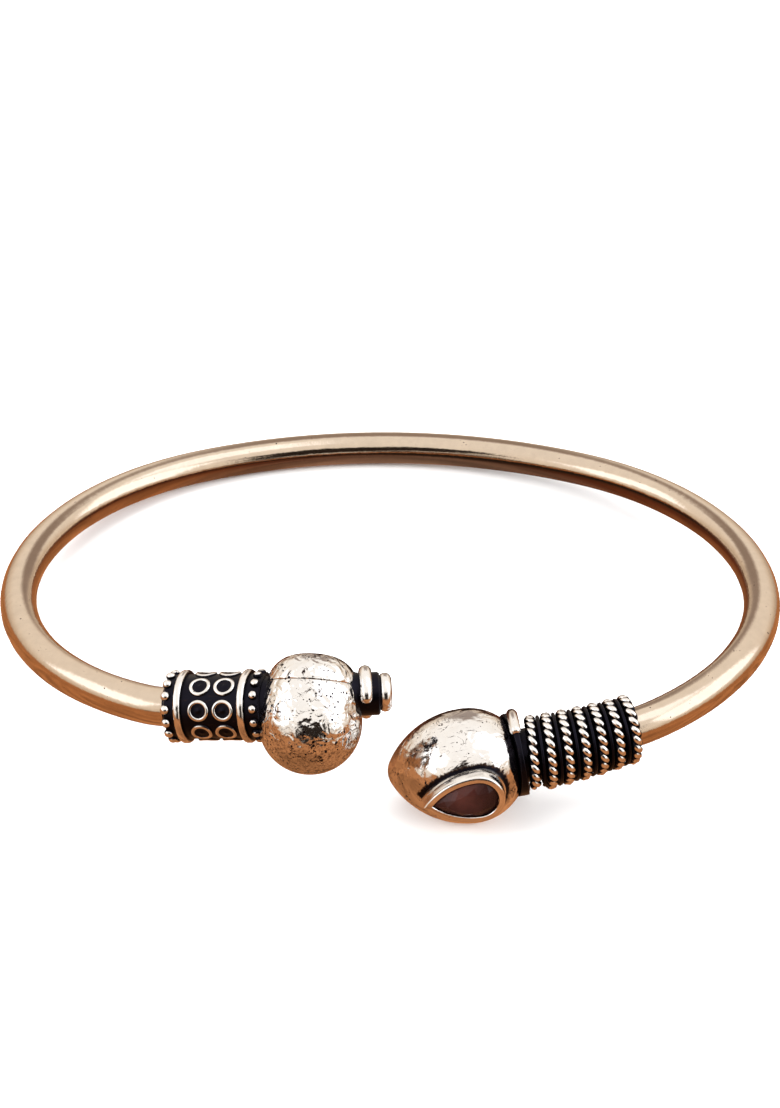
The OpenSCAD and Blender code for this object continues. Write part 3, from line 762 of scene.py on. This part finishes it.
class BuildRopeCoil(bpy.types.Operator):
    """Winds the two-strand rope round its dark core"""
    bl_idname = "cuff.rope_coil"
    bl_label = "Rope coil"

    def execute(self, context):
        rope = context.scene.rope_end
        place = places()["rope"]
        length, steps = ROPE_RADIUS*ROPE_BEND[1], 24
        knots = [length*i/steps for i in range(steps + 1)]
        core_r = coil_radius(rope, 0) - rope.rope_d/2
        share = [(coil_radius(rope, s) - rope.rope_d/2 - 0.02*MM)/core_r for s in knots]
        line = [coil_axis(place, max(s, GAP)).translation for s in knots]
        core = wound("coil_core", line, 2*core_r, sides=64, ends=share, smooth=35)
        mark(core, lambda p: 0.0)

        # The first turn starts here, past the arm's end and at an angle round the axis
        start, first, turns = 0.47*MM, radians(-60), 6.5
        pitch = rope.rope_pitch

        def centre(value, ahead=0.0, lift=0.0):
            """The rope's middle at an angle round its axis, moved along by ahead and outwards by lift."""
            s = start + ahead + pitch*(value - pi/2)/(2*pi)
            m = coil_axis(place, s)
            out = (m.to_3x3() @ Vector((0, -sin(value), -cos(value)))).normalized()
            return m.translation + (coil_radius(rope, s - start) + lift)*out, out

        per_turn = 160
        last = int(per_turn*turns)
        spine = [centre(first + 2*pi*i/per_turn) for i in range(last + 1)]
        offset = (rope.rope_d - rope.strand_d)/2
        lay = 2*pi/rope.rope_lay
        strands = []
        for k, word in enumerate(("a", "b")):
            run, points = 0.0, []
            for i, (point, out) in enumerate(spine):
                ahead = (spine[min(i + 1, last)][0] - spine[max(i - 1, 0)][0]).normalized()
                side = ahead.cross(out)
                if i:
                    run += (point - spine[i - 1][0]).length
                spin = -lay*run + pi*k
                points.append(point + offset*(cos(spin)*out + sin(spin)*side))
            line, ends = round_ends(points, rope.strand_d, steps=3)
            strands.append(wound("rope_strand_" + word, line, rope.strand_d, ends=ends, smooth=80))

        # The dark wire between the turns, and the solder that it lies in
        per_turn = 64
        fillers = []
        for word, lift, thick in (("wire", 0.19*MM, rope.filler_d), ("bed", -0.13*MM, 1.2*rope.filler_d)):
            angles = [first + 2*pi*i/per_turn for i in range(int(per_turn*(turns - 1)) + 1)]
            line, ends = round_ends([centre(a, pitch/2, lift)[0] for a in angles], thick, steps=3)
            fillers.append(wound("filler_" + word, line, thick, sides=8, ends=ends, smooth=80))
        inverse = place.inverted()

        def proud(p):
            local = inverse @ p
            s = ROPE_RADIUS*atan2(local.x, ROPE_RADIUS - local.y)
            d = axis_distance(coil_axis(place, s), p)
            return (d - coil_radius(rope, s - start) - 0.225*MM)/(0.18*MM)

        finish_piece(core, "oxidised_silver", "rope_core")
        for filler in fillers:
            mark(filler, lambda p: 0.1)
            finish_piece(filler, "oxidised_silver", "filler_wire")
        for strand in strands:
            mark(strand, proud)
            finish_piece(strand, "rubbed_silver", "rope_coil")
        return {"FINISHED"}


class BuildBeadCap(bpy.types.Operator):
    """Turns the dark cap at the teardrop's neck and solders its open turn on"""
    bl_idname = "cuff.bead_cap"
    bl_label = "Bead cap"

    def execute(self, context):
        rope = context.scene.rope_end
        place, face = places()["cap"], places()["cap_face"]
        r, reach, lean_side = rope.cap_d/2, 2*rope.cap_len, SEEN_FROM - pi/2
        lifted = place @ shift(0, -CAP_LIFT*sin(lean_side), -CAP_LIFT*cos(lean_side))
        profile = [(GAP, 0), (GAP, r - 0.06*MM), (0.12*MM, r), (reach, r), (reach, 0)]
        cap = turned("cap_disc", lifted, profile, smooth=35)
        saw_off(cap, face.translation, face.col[0].to_3d(), smooth=35)
        rub_edges(cap, 0.08*MM)
        mark(cap, lambda p: 0.0)
        ring_r = rope.neck_turn_d/2

        def proud(p):
            return (axis_distance(place, p) - ring_r + 0.1*MM)/(0.3*MM)

        neck_turn = open_turn("neck_open_turn", place, 0.3*MM, ring_r, rope.neck_wire, radians(20),
                              radians(200), proud)
        finish_piece(cap, "oxidised_silver", "bead_cap")
        finish_piece(neck_turn, "rubbed_silver", "bead_cap")
        return {"FINISHED"}


def pear(rope, grow, flank=14, crown=18):
    """Outline of the pear-cut stone, made larger all round by grow, from its tip."""
    h = rope.stone_w/2
    reach = rope.stone_len - h
    r = (reach*reach + h*h)/(2*h)
    x = h - rope.stone_len/2
    a = asin((r - h)/(r + grow))
    up = [a + (pi/2 - a)*i/flank for i in range(flank)]
    over = [pi/2 + pi*i/crown for i in range(crown)]
    down = [1.5*pi + (pi/2 - a)*i/flank for i in range(flank)]
    return ([(x + (r + grow)*cos(t), h - r + (r + grow)*sin(t)) for t in up]
            + [(x + (h + grow)*cos(t), (h + grow)*sin(t)) for t in over]
            + [(x + (r + grow)*cos(t), r - h + (r + grow)*sin(t)) for t in down])


class BuildTeardrop(bpy.types.Operator):
    """Turns the teardrop and raises the pear-shaped bezel on it"""
    bl_idname = "cuff.teardrop"
    bl_label = "Teardrop and bezel"

    def execute(self, context):
        rope = context.scene.rope_end
        spots = places()
        place, setting, face = spots["drop"], spots["setting"], spots["cap_face"]
        r, flank = rope.drop_d/2, rope.flank_radius
        nose_turn = radians(60)
        nose_r = (r - flank*(1 - cos(nose_turn)))/cos(nose_turn)
        nose_at = (flank - nose_r)*sin(nose_turn)
        profile = arc((0, 0), r, -pi/2, 0, 40)
        profile += arc((r - flank, 0), flank, 0, nose_turn, 40)[1:]
        profile += arc((0, nose_at), nose_r, nose_turn, pi/2, 14)[1:-1] + [(nose_at + nose_r, 0)]
        shell = turned("teardrop_shell", place, profile, steps=128, smooth=60)
        saw_off(shell, (face @ shift(GAP)).translation, -face.col[0].to_3d(), smooth=60)
        seat, neck = setting.inverted(), face.inverted()
        wall, foot = rope.bezel_wall, rope.bezel_wall + rope.foot
        seam = [Vector(p) for p in pear(rope, foot)]

        def proud(p):
            """Black at the cap's joint and along the bezel's foot."""
            near = seat @ p
            joint = ((neck @ p).x - 0.1*MM)/(0.15*MM)
            if near.z < -3.5*MM:
                return joint
            gap = min((Vector((near.x, near.y)) - corner).length for corner in seam)
            return min(joint, 0.1 + gap/(0.9*MM))

        mark(shell, proud)

        # The bezel's outlines: from inside the teardrop over the solder line, up the wall, down to the stone
        steps = [(foot, -1.9*MM), (foot, -1.02*MM), (wall, -1.02*MM), (wall, -0.2*MM)]
        steps += [(wall - 0.02*MM, -0.1*MM), (wall - 0.06*MM, -0.04*MM), (wall - 0.13*MM, 0)]
        steps += [(0.04*MM, 0), (0, -0.04*MM), (0, -0.66*MM)]
        rings = [[setting @ Vector((x, y, z)) for x, y in pear(rope, grow)] for grow, z in steps]
        bezel = skinned("bezel_wall", rings, smooth=30)

        def bezel_proud(p):
            z = (seat @ p).z
            return 1.0 + (z + 0.6*MM)/(0.2*MM) if z > -0.92*MM else 1.0 - abs(z + 1.0*MM)/(0.08*MM)

        mark(bezel, bezel_proud)
        finish_piece(shell, "brushed_silver", "teardrop_ball")
        finish_piece(bezel, "rubbed_silver", "teardrop_ball")
        return {"FINISHED"}


class FinishStone(bpy.types.Operator):
    """Gives the faceted pear-cut stone its garnet"""
    bl_idname = "cuff.pear_stone"
    bl_label = "Pear stone"

    def execute(self, context):
        garnet = garnet_material()
        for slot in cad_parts["pear_stone"].material_slots:
            slot.material = garnet
        return {"FINISHED"}


# Name, spot in metres, width, height, watts
LAMPS = [("left_lamp", (-0.45, -0.28, 0.42), 0.42, 0.3, 3.2),
         ("right_lamp", (0.42, -0.34, 0.42), 0.3, 0.3, 2.2),
         ("top_lamp", (0.0, 0.15, 0.7), 0.6, 0.4, 3.0)]
# Name, spot in metres, width, height, colour, strength, soft share of its edge, raggedness
CARDS = [("right_window", (0.88, -0.02, 0.55), 1.2, 0.8, "window", 2.1, 0.25, 0.0),
         ("roof_window", (0.38, 0.05, 0.95), 0.8, 0.7, "window", 1.9, 0.4, 0.0),
         ("left_window", (-0.9, -0.16, 0.52), 1.1, 0.6, "window", 2.1, 0.3, 0.0),
         ("dark_side", (0.08, -0.88, 0.36), 1.55, 0.9, "shade", 1.0, 0.12, 0.55),
         ("back_screen", (0.0, 0.085, 0.038), 0.075, 0.085, "dim_wall", 1.0, 0.6, 0.0),
         ("table_edge", (0.0, -1.0, 0.02), 2.6, 0.11, "dusk", 1.0, 0.3, 0.0)]
# The warm table, in millimetres: the middle and reach of the shade inside the cuff, where the table gives way
# to the wall behind it, and the middle, start and end of the shadow under the ball
INSIDE, INSIDE_REACH, WALL_FROM, WALL_TO = (4, 9, 0), 50.0, 18.0, 48.0
UNDER_BALL, SHADOW_FROM, SHADOW_TO = (-9, -33, 0), 3.0, 17.0
# Light of the room on what is no mirror, a little blue, and the strength of the room as a whole
DAYLIGHT, ROOM_STRENGTH = (1.02, 1.03, 1.06, 1), 1.22
# The photograph's camera as the lying cuff has it: its place, where it looks, which way is up, its focal
# length in pixels of the photograph and the photograph's long side
EYE, AHEAD, UP = (0.85*MM, -187.23*MM, 91.73*MM), (-0.0048, 0.8757, -0.4828), (-0.0085, 0.4828, 0.8757)
LENS_PX, LONG_SIDE_PX = 2198.06, 1108


def only_mirrored(piece):
    """Makes a stage card show in mirror surfaces alone."""
    piece.visible_camera = piece.visible_diffuse = piece.visible_shadow = piece.visible_transmission = False


def hang_lamp(name, spot, width, height, power):
    """Hangs a soft lamp that faces the cuff and shows in no mirror."""
    bpy.ops.object.light_add(type="AREA", location=spot)
    light = bpy.context.object
    light.name = name
    light.data.shape = "RECTANGLE"
    light.data.size, light.data.size_y = width, height
    light.data.energy = power
    light.visible_glossy = False
    light.rotation_euler = (-Vector(spot)).to_track_quat("-Z", "Y").to_euler()


def plane(name, side, spot):
    """Adds a plane for the stage, with an empty material of its own."""
    bpy.ops.object.select_all(action="DESELECT")
    bpy.ops.mesh.primitive_plane_add(size=side, location=spot)
    piece = bpy.context.object
    piece.name = name
    material, add = new_material(name)
    piece.data.materials.append(material)
    return piece, add


def stand_card(tones, name, spot, width, height, tone_name, strength, soft, ragged):
    """Stands a glowing card that faces the cuff, with soft edges and, where ragged, an uneven outline."""
    card, add = plane(name, 1, spot)
    card.scale = (width, height, 1)
    card.rotation_euler = Vector(spot).to_track_quat("-Z", "Y").to_euler()
    spread = add("TexCoord").outputs["Object"]
    place = add("SeparateXYZ", {0: spread})
    blotch = add("TexNoise", {"Vector": spread, "Scale": 5.0, "Detail": 3.0})
    x, y = (add("Math", {0: place.outputs[k]}, operation="ABSOLUTE") for k in "XY")
    square = add("Math", {0: x, 1: y}, operation="MAXIMUM")
    edge = add("Math", {0: blotch, 1: ragged, 2: square}, operation="MULTIPLY_ADD")
    fade = add("MapRange", {0: edge, 1: 0.5 - soft/2 + 0.3*ragged, 2: 0.5 + 0.3*ragged, 3: 1.0, 4: 0.0},
               interpolation_type="SMOOTHSTEP")
    glow = add("Emission", {"Color": getattr(tones, tone_name), "Strength": strength})
    mixed = add("MixShader", {0: fade, 1: add("BsdfTransparent"), 2: glow})
    add("OutputMaterial", {"Surface": mixed})
    only_mirrored(card)


def lay_pale_table(tone):
    """Lays the plain pale table that the cuff lies on."""
    floor, add = plane("pale_table", 3, (0, 0, 0))
    floor.visible_glossy = False
    speck = add("TexNoise", {"Vector": in_mm(add), "Scale": 0.05, "Detail": 2.0})
    shade = add("ValToRGB", {0: speck}, [(0.3, dimmed(tone.floor, 0.98)), (0.7, tone.floor)])
    shader = add("BsdfPrincipled", {"Base Color": shade, "Roughness": 0.9})
    add("OutputMaterial", {"Surface": shader})


def lay_warm_table(tone):
    """Lays a glowing card that only the metal mirrors, painted as the wooden table: painted shade inside the
    cuff and close to the wire, a painted shadow under the ball, bright around, and pale behind."""
    table, add = plane("warm_table", 2.4, (0, 0, -0.2*MM))
    mm = in_mm(add)
    # Painted shade: the table's glow darkens towards the middle of the cuff and close to the wire
    away = add("VectorMath", {0: mm, 1: INSIDE}, operation="DISTANCE").outputs["Value"]
    share = add("MapRange", {0: away, 1: 0.0, 2: INSIDE_REACH})
    wood_in_painted_shade = add("ValToRGB", {0: share}, [(0.16, tone.table_shade), (0.34, tone.table_near_shade),
                                        (0.7, tone.table_glow)])
    back = add("SeparateXYZ", {0: mm}).outputs["Y"]
    behind = add("MapRange", {0: back, 1: WALL_FROM, 2: WALL_TO})
    ground = add("Mix", {0: behind, 6: wood_in_painted_shade, 7: tone.low_wall}, data_type="RGBA").outputs[2]
    fibres = in_mm(add, (0.15, 1, 1), (0, 0, 0.5))
    streaks = add("TexNoise", {"Vector": fibres, "Scale": 0.45, "Detail": 4.0})
    grain = add("ValToRGB", {0: streaks}, [(0.36, 0.62), (0.52, 1.0), (0.66, 1.35)])
    under = add("VectorMath", {0: mm, 1: UNDER_BALL}, operation="DISTANCE").outputs["Value"]
    shadow = add("MapRange", {0: under, 1: SHADOW_FROM, 2: SHADOW_TO, 3: 0.58, 4: 1.0})
    for layer in (grain, shadow):
        ground = add("Mix", {0: 1.0, 6: ground, 7: layer}, data_type="RGBA",
                     blend_type="MULTIPLY").outputs[2]
    glow = add("Emission", {"Color": ground, "Strength": 1.0})
    add("OutputMaterial", {"Surface": glow})
    only_mirrored(table)


def paint_room(scene, tone):
    """Gives the room its walls and ceiling for mirrors, and plain daylight for everything else."""
    scene.world = scene.world or bpy.data.worlds.new("room")
    scene.world.use_nodes = True
    scene.world.node_tree.nodes.clear()
    add = partial(add_node, scene.world.node_tree)
    heading = add("SeparateXYZ", {0: add("TexCoord").outputs["Generated"]})
    walls = add("ValToRGB", {0: heading.outputs["Z"]},
                [(0.03, tone.low_wall), (0.3, tone.wall), (0.9, tone.ceiling)])
    mirrored = add("LightPath").outputs["Is Glossy Ray"]
    room = add("Mix", {0: mirrored, 6: DAYLIGHT, 7: walls}, data_type="RGBA").outputs[2]
    back = add("Background", {"Color": room, "Strength": ROOM_STRENGTH})
    add("OutputWorld", {"Surface": back})


def set_camera(scene):
    """Stands the camera where the photograph was taken from."""
    rest = places()["rest"]
    ahead = (rest.to_3x3() @ Vector(AHEAD)).normalized()
    right = ahead.cross((rest.to_3x3() @ Vector(UP)).normalized()).normalized()
    view = Matrix((right, right.cross(ahead), -ahead)).transposed().to_4x4()
    view.translation = rest @ Vector(EYE)
    bpy.ops.object.camera_add()
    camera = bpy.context.object
    camera.name = "photo_view"
    camera.matrix_world = view
    camera.data.sensor_fit = "AUTO"
    camera.data.sensor_width = 36
    camera.data.lens = camera.data.sensor_width*LENS_PX/LONG_SIDE_PX
    camera.data.clip_start, camera.data.clip_end = 0.01, 10
    scene.camera = camera


class SetStage(bpy.types.Operator):
    """Lays the pale table, hangs the soft lights and sets the camera"""
    bl_idname = "cuff.stage"
    bl_label = "Table, lights and camera"

    def execute(self, context):
        scene, tone = context.scene, context.scene.stage
        lay_pale_table(tone)
        for lamp in LAMPS:
            hang_lamp(*lamp)
        for card in CARDS:
            stand_card(tone, *card)
        lay_warm_table(tone)
        paint_room(scene, tone)
        set_camera(scene)
        scene.view_settings.view_transform = "Standard"
        return {"FINISHED"}


class CUFF_PT_panel(bpy.types.Panel):
    """Lists the cuff's pieces and their sizes"""
    bl_label = "Cuff bracelet"
    bl_idname = "CUFF_PT_panel"
    bl_space_type = "VIEW_3D"
    bl_region_type = "UI"
    bl_category = "Cuff"

    def draw(self, context):
        for group in SETTINGS:
            for name in getattr(context.scene, group).bl_rna.properties.keys():
                if name not in ("rna_type", "name"):
                    self.layout.prop(getattr(context.scene, group), name)
        for step in STEPS:
            self.layout.operator(step.bl_idname)


SETTINGS = {"cuff_wire": CuffWireSettings, "ring_end": RingEndSettings, "rope_end": RopeEndSettings,
            "finish": FinishSettings, "stage": StageSettings}
STEPS = (BuildCuffWire, BuildRingSleeve, BuildRoundBall, BuildEndKnob, BuildRopeCoil, BuildBeadCap,
         BuildTeardrop, FinishStone, SetStage)


def register():
    for group in SETTINGS.values():
        bpy.utils.register_class(group)
    for name, group in SETTINGS.items():
        setattr(bpy.types.Scene, name, PointerProperty(type=group))
    for step in STEPS:
        bpy.utils.register_class(step)
    bpy.utils.register_class(CUFF_PT_panel)


def unregister():
    bpy.utils.unregister_class(CUFF_PT_panel)
    for step in reversed(STEPS):
        bpy.utils.unregister_class(step)
    for name, group in SETTINGS.items():
        delattr(bpy.types.Scene, name)
        bpy.utils.unregister_class(group)


def main():
    register()
    for step in STEPS:
        area, word = step.bl_idname.split(".")
        getattr(getattr(bpy.ops, area), word)()


if __name__ == "__main__":
    main()
